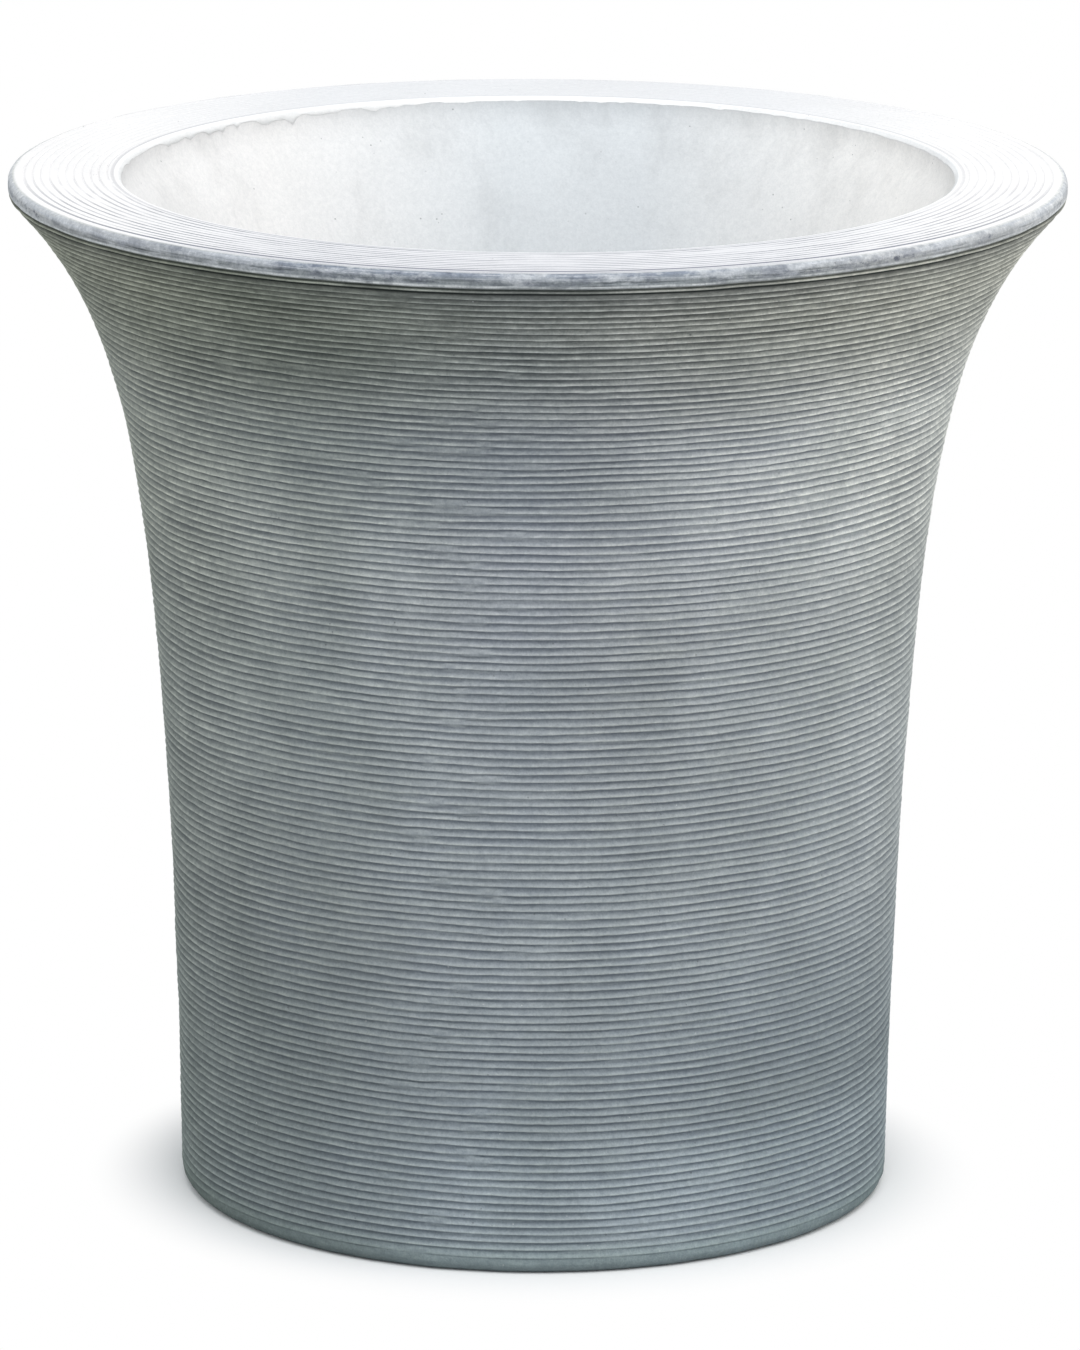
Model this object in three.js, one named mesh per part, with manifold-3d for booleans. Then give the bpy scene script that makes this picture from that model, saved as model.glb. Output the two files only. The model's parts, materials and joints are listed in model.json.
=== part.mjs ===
// Floor planter, cast in concrete: a slightly conical body that flares out to a thick rim.
// The outside is combed with level ribs, and the rim's top with concentric grooves.
// A light steel cage lies in the middle of the wall and floor, a plastic sleeve lines the drain,
// and a loose screen stands over it. Millimetres, +Z up, origin at the centre of the underside.

import * as THREE from 'three';
import { mergeVertices } from 'three/addons/utils/BufferGeometryUtils.js';
import Module from 'manifold-3d';

// Outside of the casting
const HEIGHT = 600;
const RIM_RADIUS = 305;
const FOOT_RADIUS = 207.5;
const TAPER = 10.2; // widening that is even over the whole height
const SWEEP = 38; // widening that starts slowly around half height
const SWEEP_POWER = 2.66;
const FLARE_POWER = 9.5; // the rest of the widening comes in the last fifth
const BAND_HEIGHT = 10.4; // plain upright face of the rim
const RIM_EDGE = 4; // rounding between that face and the rim's top
const FOOT_EDGE = 8; // rounding at the foot
const SMOOTH_FOOT = 25; // height that the comb doesn't reach

// Inside of the casting
const WALL = 50;
const FLOOR = 50;
const FLOOR_CORNER = 14; // rounding between floor and wall
const MOUTH_RADIUS = 240; // upright ring that ends the inside at the top
const MOUTH_EDGE = 4.5; // rounding of the mouth

// Combing
const COMB_PITCH = 4.75; // from tooth to tooth of the comb, along the surface
const COMB_LINES = 2; // comb lines that each modelled rib or groove stands for
const RIB_DEPTH = 2;
const GROOVE_DEPTH = 1.6;
const GROOVE_WIDTH = 4;
const RIM_MARGIN = 8; // plain ring between the rim's edge and its first groove

// Steel cage
const BAR = 6; // bar diameter
const HOOP_COUNT = 5;
const RIM_COVER = 33; // from the rim's top down to the middle of the last hoop
const UPRIGHT_COUNT = 6;
const UPRIGHT_FOOT = 14; // from the underside up to the uprights' lower ends
const UPRIGHT_OVERRUN = 8; // length of an upright past the last hoop
const BASE_BAR_COUNT = 4; // half of them across the others
const BASE_COVER = 16; // concrete under the lower floor bars
const BASE_BAR_SPACING = 140;
const BAR_END_COVER = 16; // concrete past the end of a floor bar

// Chairs between the upper floor bars and the mould's core
const CHAIR_FOOT_RADIUS = 9;
const CHAIR_NECK_RADIUS = 6;
const CHAIR_DISTANCE = 110; // from the middle of a bar to the chair at each end of it

// Drain
const SLEEVE_BORE = 28;
const SLEEVE_WALL = 2.5;
const SCREEN_RADIUS = 48;
const SCREEN_THICKNESS = 3;
const SCREEN_FOOT_HEIGHT = 6;
const SCREEN_FOOT_RADIUS = 4;
const SCREEN_FEET = 3;
const SCREEN_HOLE_RADIUS = 4;
const SCREEN_HOLE_SPACING = 16; // between holes, round a ring and from ring to ring
const SCREEN_FIRST_RING = 12; // radius of the smallest ring of holes
const SCREEN_MARGIN = 3; // between a foot and the screen's edge, and between a foot and a hole

// Clearances
const CLEARANCE = 0.3; // between pieces that touch
const CAST_GAP = 0.5; // between the concrete and what is cast into it

// Fineness of the round shapes
const SHELL_SIDES = 28;
const HOOP_SIDES = 18;
const BAR_SIDES = 6;
const SMALL_SIDES = 12;
const FOOT_SIDES = 8;
const HOLE_SIDES = 6;
const CURVE_SAMPLES = 600;
const HALVINGS = 50;
const INNER_WALL_STEPS = 6;
const ROUNDING_STEPS = 2;

const wasm = await Module();
wasm.setup();

const concrete = { color: 0x8f9894, roughness: 0.92, metalness: 0 };
const steel = { color: 0x9a9fa3, roughness: 0.45, metalness: 0.9 };
const chairPlastic = { color: 0x55595c, roughness: 0.6, metalness: 0 };
const pipePlastic = { color: 0xc9cbc6, roughness: 0.5, metalness: 0 };
const screenPlastic = { color: 0x2b2d2e, roughness: 0.65, metalness: 0 };

// Geometry helpers

function merged(geometry) {
  geometry.deleteAttribute('normal');
  geometry.deleteAttribute('uv');
  return mergeVertices(geometry, 1e-4);
}

function toSolid(geometry) {
  const closed = merged(geometry);
  return new wasm.Manifold(new wasm.Mesh({
    numProp: 3,
    vertProperties: new Float32Array(closed.attributes.position.array),
    triVerts: new Uint32Array(closed.index.array),
  }));
}

function toGeometry(solid) {
  const mesh = solid.getMesh();
  const geometry = new THREE.BufferGeometry();
  geometry.setAttribute('position', new THREE.BufferAttribute(mesh.vertProperties, 3));
  geometry.setIndex(new THREE.BufferAttribute(mesh.triVerts, 1));
  return geometry;
}

function named(name, geometry, look) {
  const mesh = new THREE.Mesh(geometry, new THREE.MeshStandardMaterial(look));
  mesh.name = name;
  return mesh;
}

// Points evenly round a centre, the first in the given direction.
function polygon(x, y, radius, sides, first) {
  const points = [];
  for (let side = 0; side < sides; side += 1) {
    const angle = first + (side * 2 * Math.PI) / sides;
    points.push([x + radius * Math.cos(angle), y + radius * Math.sin(angle)]);
  }
  return points;
}

function shapeOf(points) {
  return new THREE.Shape(points.map(([x, y]) => new THREE.Vector2(x, y)));
}

// A closed outline of [radius, height] points, turned about Z.
function turned(outline, sides) {
  const points = outline.map(([radius, height]) => new THREE.Vector2(radius, height));
  points.push(points[0].clone());
  const geometry = merged(new THREE.LatheGeometry(points, sides));
  return geometry.rotateX(Math.PI / 2);
}

// Points of a round corner, from one angle to another about its centre.
function corner(centreRadius, centreHeight, rounding, from, to) {
  const points = [];
  for (let step = 0; step <= ROUNDING_STEPS; step += 1) {
    const angle = from + ((to - from) * step) / ROUNDING_STEPS;
    points.push([
      centreRadius + rounding * Math.cos(angle),
      centreHeight + rounding * Math.sin(angle),
    ]);
  }
  return points;
}

// The wall's curve

const WALL_TOP = HEIGHT - BAND_HEIGHT;
const FLARE = RIM_RADIUS - FOOT_RADIUS - TAPER - SWEEP;

function wallRadius(height) {
  const share = height / WALL_TOP;
  return FOOT_RADIUS + TAPER * share + SWEEP * share ** SWEEP_POWER + FLARE * share ** FLARE_POWER;
}

function wallSlope(height) {
  const share = height / WALL_TOP;
  const sweep = SWEEP * SWEEP_POWER * share ** (SWEEP_POWER - 1);
  const flare = FLARE * FLARE_POWER * share ** (FLARE_POWER - 1);
  return (TAPER + sweep + flare) / WALL_TOP;
}

// The point that lies a given depth inside the wall, square to it, behind the given height.
function insideWall(height, depth) {
  const slope = wallSlope(height);
  const length = Math.hypot(1, slope);
  return [wallRadius(height) - depth / length, height + (depth * slope) / length];
}

// The height on the curve behind which a point at that depth lies at the given level.
function heightBehind(level, depth) {
  let low = -HEIGHT;
  let high = HEIGHT;
  for (let step = 0; step < HALVINGS; step += 1) {
    const middle = (low + high) / 2;
    if (insideWall(middle, depth)[1] < level) low = middle;
    else high = middle;
  }
  return low;
}

function insideWallAt(level, depth) {
  return insideWall(heightBehind(level, depth), depth)[0];
}

// Heights that lie evenly along the wall's curve.
function heightsAlong(bottom, top, spaces) {
  const samples = [[bottom, 0]];
  for (let index = 1; index <= CURVE_SAMPLES; index += 1) {
    const height = bottom + ((top - bottom) * index) / CURVE_SAMPLES;
    const [before, length] = samples[index - 1];
    const step = Math.hypot(height - before, wallRadius(height) - wallRadius(before));
    samples.push([height, length + step]);
  }
  const total = samples[CURVE_SAMPLES][1];
  const heights = [];
  let index = 0;
  for (let space = 0; space <= spaces; space += 1) {
    const wanted = (total * space) / spaces;
    while (index < CURVE_SAMPLES - 1 && samples[index + 1][1] < wanted) index += 1;
    const [low, lengthLow] = samples[index];
    const [high, lengthHigh] = samples[index + 1];
    heights.push(low + ((high - low) * (wanted - lengthLow)) / (lengthHigh - lengthLow));
  }
  return { heights, total };
}

// Outline of the casting, from the drain up the inside, over the rim and down the outside

const SLEEVE_RADIUS = SLEEVE_BORE / 2 + SLEEVE_WALL;
const DRAIN_RADIUS = SLEEVE_RADIUS + CAST_GAP;
const RIB_PITCH = COMB_PITCH * COMB_LINES;

function insideOutline() {
  const cornerTop = FLOOR + FLOOR_CORNER;
  const cornerRadius = insideWallAt(cornerTop, WALL) - FLOOR_CORNER;
  const points = [[DRAIN_RADIUS, FLOOR]];
  points.push(...corner(cornerRadius, cornerTop, FLOOR_CORNER, -Math.PI / 2, 0));
  const mouthStart = HEIGHT - MOUTH_EDGE;
  for (let step = 1; step < INNER_WALL_STEPS; step += 1) {
    const rise = Math.sin((step / INNER_WALL_STEPS) * (Math.PI / 2));
    const level = cornerTop + (mouthStart - cornerTop) * rise;
    points.push([Math.min(insideWallAt(level, WALL), MOUTH_RADIUS), level]);
  }
  points.push(...corner(MOUTH_RADIUS + MOUTH_EDGE, mouthStart, MOUTH_EDGE, Math.PI, Math.PI / 2));
  return points;
}

function rimOutline() {
  const points = [];
  const outermost = RIM_RADIUS - RIM_MARGIN - GROOVE_WIDTH / 2;
  const innermost = MOUTH_RADIUS + MOUTH_EDGE + GROOVE_WIDTH / 2;
  const grooves = Math.floor((outermost - innermost) / RIB_PITCH);
  for (let groove = grooves; groove >= 0; groove -= 1) {
    const radius = outermost - groove * RIB_PITCH;
    points.push([radius - GROOVE_WIDTH / 2, HEIGHT]);
    points.push([radius, HEIGHT - GROOVE_DEPTH]);
    points.push([radius + GROOVE_WIDTH / 2, HEIGHT]);
  }
  points.push(...corner(RIM_RADIUS - RIM_EDGE, HEIGHT - RIM_EDGE, RIM_EDGE, Math.PI / 2, 0));
  return points;
}

function ribbedWallOutline() {
  const { total } = heightsAlong(SMOOTH_FOOT, WALL_TOP, 1);
  const ribs = Math.round(total / RIB_PITCH);
  const { heights } = heightsAlong(SMOOTH_FOOT, WALL_TOP, ribs * 2);
  const points = heights.map((height, index) => {
    const depth = index % 2 === 0 ? 0 : RIB_DEPTH;
    return insideWall(height, depth);
  });
  return points.reverse();
}

function footOutline() {
  const centreRadius = wallRadius(FOOT_EDGE) - FOOT_EDGE;
  const points = corner(centreRadius, FOOT_EDGE, FOOT_EDGE, 0, -Math.PI / 2);
  points.push([DRAIN_RADIUS, 0]);
  return points;
}

function castingOutline() {
  const points = [...insideOutline(), ...rimOutline(), ...ribbedWallOutline(), ...footOutline()];
  return points.reverse(); // counter-clockwise, so that the faces point out
}

// Steel cage. Each bar is made twice: at its own size, and larger by the cast gap as its channel.

const BAR_RADIUS = BAR / 2;
const TIED = BAR + CLEARANCE; // from middle to middle of two bars tied side by side
const LOWER_BAR_HEIGHT = BASE_COVER + BAR_RADIUS;
const UPPER_BAR_HEIGHT = LOWER_BAR_HEIGHT + TIED;
const BAR_TIP = BAR_RADIUS / Math.cos(Math.PI / BAR_SIDES);
const FIRST_HOOP_HEIGHT = UPPER_BAR_HEIGHT + BAR_RADIUS + CLEARANCE + BAR_TIP;
const HOOP_SEATS = []; // the height on the wall's curve that each hoop lies behind
for (let index = 0; index < HOOP_COUNT; index += 1) {
  const rise = Math.sin((index / (HOOP_COUNT - 1)) * (Math.PI / 2));
  const level = FIRST_HOOP_HEIGHT + (HEIGHT - RIM_COVER - FIRST_HOOP_HEIGHT) * rise;
  HOOP_SEATS.push(heightBehind(level, WALL / 2));
}

// A bar's section, with a flat side at the bar's radius that faces the given way.
function barSection(radius, facing) {
  const tip = radius / Math.cos(Math.PI / BAR_SIDES);
  return polygon(0, 0, tip, BAR_SIDES, facing + Math.PI / BAR_SIDES);
}

// A hoop has its flat stretches where the uprights cross it, and its radius is measured there.
function hoop(seat, radius) {
  const [middle, height] = insideWall(seat, WALL / 2);
  const across = middle / Math.cos(Math.PI / HOOP_SIDES);
  const section = barSection(radius, -Math.atan(wallSlope(seat)));
  const outline = section.map(([x, y]) => [across + x, height + y]);
  return turned(outline, HOOP_SIDES).rotateZ(Math.PI / 2 + Math.PI / HOOP_SIDES);
}

// The line of an upright: straight stretches between stations, one beside each hoop.
class UprightLine extends THREE.Curve {
  constructor(stations) {
    super();
    this.stations = stations;
  }

  getPoint(share, target = new THREE.Vector3()) {
    const spaces = this.stations.length - 1;
    const place = Math.min(Math.max(share, 0), 1) * spaces;
    const index = Math.min(Math.floor(place), spaces - 1);
    return target.lerpVectors(this.stations[index], this.stations[index + 1], place - index);
  }

  getUtoTmapping(share) {
    return share;
  }
}

function uprightStations(extra) {
  const depth = WALL / 2 + TIED;
  const last = HOOP_SEATS[HOOP_COUNT - 1];
  const beforeLast = (HOOP_SEATS[HOOP_COUNT - 2] + last) / 2;
  const seats = [...HOOP_SEATS.slice(0, -1), beforeLast, last];
  const [footRadius] = insideWall(heightBehind(UPRIGHT_FOOT, depth), depth);
  const points = [[footRadius, UPRIGHT_FOOT - extra]];
  points.push(...seats.map((seat) => insideWall(seat, depth)));
  const [topRadius, topHeight] = insideWall(last, depth);
  const lean = Math.atan(wallSlope(last));
  const reach = UPRIGHT_OVERRUN + extra;
  points.push([topRadius + reach * Math.sin(lean), topHeight + reach * Math.cos(lean)]);
  return points.map(([radius, height]) => new THREE.Vector3(radius, 0, height));
}

function upright(index, radius) {
  const extra = radius - BAR_RADIUS;
  const line = new UprightLine(uprightStations(extra));
  const section = shapeOf(barSection(radius, Math.PI / 2));
  const steps = line.stations.length - 1;
  const geometry = new THREE.ExtrudeGeometry(section, { steps, extrudePath: line });
  return merged(geometry).rotateZ((index * 2 * Math.PI) / UPRIGHT_COUNT);
}

// Floor bars: a lower layer along X, and an upper layer along Y on top of it.
const BARS_IN_LAYER = BASE_BAR_COUNT / 2;

function baseBarOffset(index) {
  return ((index % BARS_IN_LAYER) - (BARS_IN_LAYER - 1) / 2) * BASE_BAR_SPACING;
}

function baseBar(index, radius) {
  const extra = radius - BAR_RADIUS;
  const offset = baseBarOffset(index);
  const reach = FOOT_RADIUS - BAR_END_COVER;
  const half = Math.sqrt(reach ** 2 - (Math.abs(offset) + BAR_RADIUS) ** 2) + extra;
  const upper = index >= BARS_IN_LAYER;
  const section = shapeOf(barSection(radius, 0));
  const geometry = new THREE.ExtrudeGeometry(section, { depth: half * 2, bevelEnabled: false });
  geometry.translate(0, 0, -half).rotateY(Math.PI / 2);
  geometry.translate(0, offset, upper ? UPPER_BAR_HEIGHT : LOWER_BAR_HEIGHT);
  return merged(upper ? geometry.rotateZ(-Math.PI / 2) : geometry);
}

const cageMakers = [];
HOOP_SEATS.forEach((seat, index) => {
  cageMakers.push([`hoop_${index + 1}`, (radius) => hoop(seat, radius)]);
});
for (let index = 0; index < UPRIGHT_COUNT; index += 1) {
  cageMakers.push([`upright_${index + 1}`, (radius) => upright(index, radius)]);
}
for (let index = 0; index < BASE_BAR_COUNT; index += 1) {
  cageMakers.push([`base_bar_${index + 1}`, (radius) => baseBar(index, radius)]);
}

// Chairs: the mould stands rim down while it is filled, so a chair stands on the mould's core
// and its foot shows in the planter's floor. It straddles an upper floor bar near one end.

function chairBody(extra) {
  const bottom = UPPER_BAR_HEIGHT - extra;
  const top = FLOOR + extra;
  const outline = [
    [0, bottom],
    [CHAIR_NECK_RADIUS + extra, bottom],
    [CHAIR_NECK_RADIUS + extra, UPPER_BAR_HEIGHT + BAR],
    [CHAIR_FOOT_RADIUS + extra, top],
    [0, top],
  ];
  const points = outline.map(([radius, height]) => new THREE.Vector2(radius, height));
  return merged(new THREE.LatheGeometry(points, SMALL_SIDES)).rotateX(Math.PI / 2);
}

const chairSpots = [];
[-1, 1].forEach((end) => {
  for (let bar = BARS_IN_LAYER; bar < BASE_BAR_COUNT; bar += 1) {
    chairSpots.push({ bar, place: [baseBarOffset(bar), end * CHAIR_DISTANCE, 0] });
  }
});

function chair({ bar, place }) {
  const body = toSolid(chairBody(0).translate(...place));
  return toGeometry(body.subtract(toSolid(baseBar(bar, BAR_RADIUS + CLEARANCE))));
}

// Drain sleeve: a length of pipe, flush with both faces of the floor.
function drainSleeve() {
  const bore = SLEEVE_BORE / 2;
  return turned([[bore, 0], [SLEEVE_RADIUS, 0], [SLEEVE_RADIUS, FLOOR], [bore, FLOOR]], SHELL_SIDES);
}

// Drain screen: a disc on short feet, with rings of holes as far out as the feet allow.
function drainScreen() {
  const bottom = FLOOR + CLEARANCE;
  const reach = SCREEN_RADIUS - SCREEN_FOOT_RADIUS - SCREEN_MARGIN;
  const lastRing = reach - SCREEN_FOOT_RADIUS - SCREEN_MARGIN - SCREEN_HOLE_RADIUS;
  const disc = shapeOf(polygon(0, 0, SCREEN_RADIUS, SHELL_SIDES, 0));
  for (let ring = SCREEN_FIRST_RING; ring <= lastRing; ring += SCREEN_HOLE_SPACING) {
    const holes = Math.floor((ring * 2 * Math.PI) / SCREEN_HOLE_SPACING);
    for (let hole = 0; hole < holes; hole += 1) {
      const angle = (hole * 2 * Math.PI) / holes;
      const x = ring * Math.cos(angle);
      const y = ring * Math.sin(angle);
      disc.holes.push(shapeOf(polygon(x, y, SCREEN_HOLE_RADIUS, HOLE_SIDES, angle)));
    }
  }
  const plate = new THREE.ExtrudeGeometry(disc, { depth: SCREEN_THICKNESS, bevelEnabled: false });
  let solid = toSolid(plate.translate(0, 0, bottom + SCREEN_FOOT_HEIGHT));
  for (let foot = 0; foot < SCREEN_FEET; foot += 1) {
    const angle = ((foot + 0.5) * 2 * Math.PI) / SCREEN_FEET;
    const height = SCREEN_FOOT_HEIGHT + SCREEN_THICKNESS / 2;
    const post = new THREE.CylinderGeometry(SCREEN_FOOT_RADIUS, SCREEN_FOOT_RADIUS, height, FOOT_SIDES);
    post.rotateX(Math.PI / 2);
    post.translate(reach * Math.cos(angle), reach * Math.sin(angle), bottom + height / 2);
    solid = solid.add(toSolid(post));
  }
  return toGeometry(solid);
}

// Assembly

const planter = new THREE.Group();
const cage = new THREE.Group();
planter.add(cage);

let casting = toSolid(turned(castingOutline(), SHELL_SIDES));
cageMakers.forEach(([name, make]) => {
  cage.add(named(name, make(BAR_RADIUS), steel));
  casting = casting.subtract(toSolid(make(BAR_RADIUS + CAST_GAP)));
});
chairSpots.forEach((spot, index) => {
  planter.add(named(`bar_chair_${index + 1}`, chair(spot), chairPlastic));
  casting = casting.subtract(toSolid(chairBody(CAST_GAP).translate(...spot.place)));
});
planter.add(named('planter_shell', toGeometry(casting), concrete));
planter.add(named('drain_sleeve', drainSleeve(), pipePlastic));
planter.add(named('drain_screen', drainScreen(), screenPlastic));

export default planter;
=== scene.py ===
# %% [markdown]
# # A flared concrete planter with combed ribs
#
# The planter is one heavy casting. Its outside was combed with level ribs, its rim with concentric
# grooves, and its inside left smooth. A packed CAD model is already the right size, so this lesson
# keeps it as a frame and makes the surfaces that the eye sees: about 130 ribs with their flaws,
# the streaky rim, the pale inside, and a weathered concrete over all of it.
#
# We start by loading the frame and reading its sizes, so that nothing has to be fitted later.

# %% Load the frame
import json
import math

import bpy
import numpy as np
from mathutils import Matrix, Vector


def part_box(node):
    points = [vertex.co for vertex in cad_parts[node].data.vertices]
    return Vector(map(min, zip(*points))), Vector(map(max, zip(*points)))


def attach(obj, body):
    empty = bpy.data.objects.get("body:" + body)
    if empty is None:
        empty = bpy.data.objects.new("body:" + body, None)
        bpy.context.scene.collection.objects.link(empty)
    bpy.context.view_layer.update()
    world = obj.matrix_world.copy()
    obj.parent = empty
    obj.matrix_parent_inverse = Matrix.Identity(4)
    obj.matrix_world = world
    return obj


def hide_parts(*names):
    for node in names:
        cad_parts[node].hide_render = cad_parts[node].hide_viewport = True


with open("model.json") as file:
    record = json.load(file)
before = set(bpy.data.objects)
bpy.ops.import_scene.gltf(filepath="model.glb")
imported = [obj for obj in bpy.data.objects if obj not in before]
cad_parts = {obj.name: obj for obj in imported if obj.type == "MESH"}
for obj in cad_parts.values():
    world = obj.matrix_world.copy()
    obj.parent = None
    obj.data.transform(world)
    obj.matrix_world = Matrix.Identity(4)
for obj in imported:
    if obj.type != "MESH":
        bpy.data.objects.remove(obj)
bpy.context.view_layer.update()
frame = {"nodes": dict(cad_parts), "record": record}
shell_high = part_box("planter_shell")[1]
RIM_RADIUS = shell_high[0]
HEIGHT = shell_high[2]
print("rim radius", round(RIM_RADIUS, 4), "m, height", round(HEIGHT, 4), "m")

# %% [markdown]
# ## The camera
#
# The camera stands about five metres away, at more than twice the planter's height. It looks
# slightly down and leans a touch to one side. A camera is easiest to place by where it stands and by
# how it is turned, so we build its three axes from those angles instead of using a constraint.

# %% Place the camera
PICTURE_WIDTH = 1080
PICTURE_HEIGHT = 1350
CAMERA_DISTANCE = 5.1168
CAMERA_HEIGHT = 1.5633
CAMERA_PITCH = 0.24189
CAMERA_YAW = 0.00048
CAMERA_ROLL = 0.00434
FOCAL_PIXELS = 9029.25
SENSOR = 36.0
SIGHT = 100.0

ahead = Vector((
    math.sin(CAMERA_YAW) * math.cos(CAMERA_PITCH),
    math.cos(CAMERA_YAW) * math.cos(CAMERA_PITCH),
    -math.sin(CAMERA_PITCH),
))
level_right = Vector((math.cos(CAMERA_YAW), -math.sin(CAMERA_YAW), 0.0))
level_up = level_right.cross(ahead)
right = level_right * math.cos(CAMERA_ROLL) + level_up * math.sin(CAMERA_ROLL)
up = level_up * math.cos(CAMERA_ROLL) - level_right * math.sin(CAMERA_ROLL)

camera_data = bpy.data.cameras.new("camera")
camera_data.sensor_width = SENSOR
camera_data.lens = FOCAL_PIXELS / max(PICTURE_WIDTH, PICTURE_HEIGHT) * SENSOR
camera_data.clip_end = SIGHT
camera = bpy.data.objects.new("camera", camera_data)
turn = Matrix((right, up, -ahead)).transposed().to_4x4()
camera.matrix_world = Matrix.Translation((0.0, -CAMERA_DISTANCE, CAMERA_HEIGHT)) @ turn
bpy.context.scene.collection.objects.link(camera)
bpy.context.scene.camera = camera
print("lens", round(camera_data.lens, 1), "mm")

# %% [markdown]
# ## Light
#
# Outdoors on a bright, hazy day the sky does most of the work: broad light from above, a little
# more of it from one side, and no hard shadow. An even world and three large soft lamps give the
# same. The camera sees the world as plain white, so a background never needs extra light.

# %% Light the scene
scene = bpy.context.scene
scene.view_settings.view_transform = "Standard"

WHITE = (1.0, 1.0, 1.0)
SKY_TINT = (0.93, 0.97, 1.0)
SKY_STRENGTH = 0.72
LAMP_AIM = Vector((0.0, 0.0, HEIGHT * 0.6))
LAMPS = (
    # name, place, size in metres, watts, tint
    ("sky_above", (0.5, -1.9, 3.3), 2.4, 62.0, WHITE),
    ("sky_left", (-3.0, -1.2, 2.2), 2.0, 10.0, (0.96, 0.98, 1.0)),
    ("sky_right", (3.2, -0.9, 2.1), 2.0, 24.0, (1.0, 0.97, 0.92)),
)


def empty_nodes(owner):
    """The cleared node tree of a world or a material."""
    owner.use_nodes = True
    owner.node_tree.nodes.clear()
    return owner.node_tree


def give(tree, socket, value):
    """Links a node's output to a socket, or sets the socket to a number, a vector or a colour."""
    if isinstance(value, bpy.types.NodeSocket):
        tree.links.new(value, socket)
    else:
        socket.default_value = (*value, 1.0) if socket.type == "RGBA" else value


def add_node(tree, kind, *values, **named):
    """A new node, whose inputs are given in their order or by name."""
    node = tree.nodes.new(kind)
    for socket, value in [*enumerate(values), *named.items()]:
        give(tree, node.inputs[socket], value)
    return node


def soft_lamp(name, place, size, watts, tint):
    """A square area lamp that faces the middle of the planter."""
    lamp_data = bpy.data.lights.new(name, "AREA")
    lamp_data.shape = "SQUARE"
    lamp_data.size = size
    lamp_data.energy = watts
    lamp_data.color = tint
    lamp = bpy.data.objects.new(name, lamp_data)
    lamp.location = place
    lamp.rotation_euler = (LAMP_AIM - Vector(place)).to_track_quat("-Z", "Y").to_euler()
    scene.collection.objects.link(lamp)


scene.world = bpy.data.worlds.new("sky")
sky = empty_nodes(scene.world)
sky_ray = add_node(sky, "ShaderNodeLightPath").outputs["Is Camera Ray"]
sky_light = add_node(sky, "ShaderNodeBackground", SKY_TINT, SKY_STRENGTH).outputs[0]
sky_seen = add_node(sky, "ShaderNodeBackground", WHITE, 1.0).outputs[0]
sky_mix = add_node(sky, "ShaderNodeMixShader", sky_ray, sky_light, sky_seen).outputs[0]
add_node(sky, "ShaderNodeOutputWorld", sky_mix)
for lamp_row in LAMPS:
    soft_lamp(*lamp_row)

# %% [markdown]
# ## Floor
#
# A large pale disc stands for the ground. Near the planter it is a plain matt white that takes the
# soft contact shadow; further out it turns into the same white as the world, so no horizon shows.
# Light that bounces meets a darker grey there, so the floor doesn't brighten the foot too much.

# %% Lay the floor
FLOOR_RADIUS = 30.0
FLOOR_RINGS = (0.0, 0.4, 0.9, 2.0, 8.0, FLOOR_RADIUS)
FLOOR_SIDES = 64
SHADOW_FROM = 0.198
WHITE_FROM = 0.265
FLOOR_SEEN = (0.95, 0.95, 0.95)
FLOOR_BOUNCED = (0.40, 0.41, 0.42)


def disc_mesh(name, radii, sides, height):
    """A flat disc of rings, as a mesh."""
    points = [(0.0, 0.0, height)]
    faces = []
    for radius in radii[1:]:
        for side in range(sides):
            angle = 2.0 * math.pi * side / sides
            points.append((radius * math.cos(angle), radius * math.sin(angle), height))
    for side in range(sides):
        faces.append((0, 1 + side, 1 + (side + 1) % sides))
    for ring in range(len(radii) - 2):
        inner = 1 + ring * sides
        outer = inner + sides
        for side in range(sides):
            after = (side + 1) % sides
            faces.append((inner + side, outer + side, outer + after, inner + after))
    mesh = bpy.data.meshes.new(name)
    mesh.from_pydata(points, [], faces)
    return mesh


floor = bpy.data.objects.new("floor", disc_mesh("floor", FLOOR_RINGS, FLOOR_SIDES, 0.0))
scene.collection.objects.link(floor)

floor_material = bpy.data.materials.new("pale_floor")
ground = empty_nodes(floor_material)
ray = add_node(ground, "ShaderNodeLightPath").outputs["Is Camera Ray"]
here = add_node(ground, "ShaderNodeTexCoord").outputs["Object"]
distance = add_node(ground, "ShaderNodeVectorMath", here)
distance.operation = "LENGTH"
fade = add_node(ground, "ShaderNodeMapRange", distance.outputs["Value"], SHADOW_FROM, WHITE_FROM)
fade.interpolation_type = "SMOOTHSTEP"
seen_fade = add_node(ground, "ShaderNodeMath", fade.outputs["Result"], ray)
seen_fade.operation = "MULTIPLY"
floor_colour = add_node(ground, "ShaderNodeMix", Factor=ray)
floor_colour.data_type = "RGBA"
give(ground, floor_colour.inputs[6], FLOOR_BOUNCED)
give(ground, floor_colour.inputs[7], FLOOR_SEEN)
matt = add_node(ground, "ShaderNodeBsdfDiffuse", floor_colour.outputs[2]).outputs[0]
white = add_node(ground, "ShaderNodeEmission", WHITE, 1.0).outputs[0]
floor_mix = add_node(ground, "ShaderNodeMixShader", seen_fade.outputs[0], matt, white).outputs[0]
add_node(ground, "ShaderNodeOutputMaterial", floor_mix)
floor.data.materials.append(floor_material)
print("floor", FLOOR_RADIUS, "m in radius")

# %% [markdown]
# ## The wall's curve
#
# Seen from the side, the planter is a foot that widens very slowly, then sweeps out, then flares
# hard in the last fifth. One formula holds all three. We sample it finely once, so that any rib can
# be placed by its distance along the wall, which is how the comb was moved.

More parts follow.
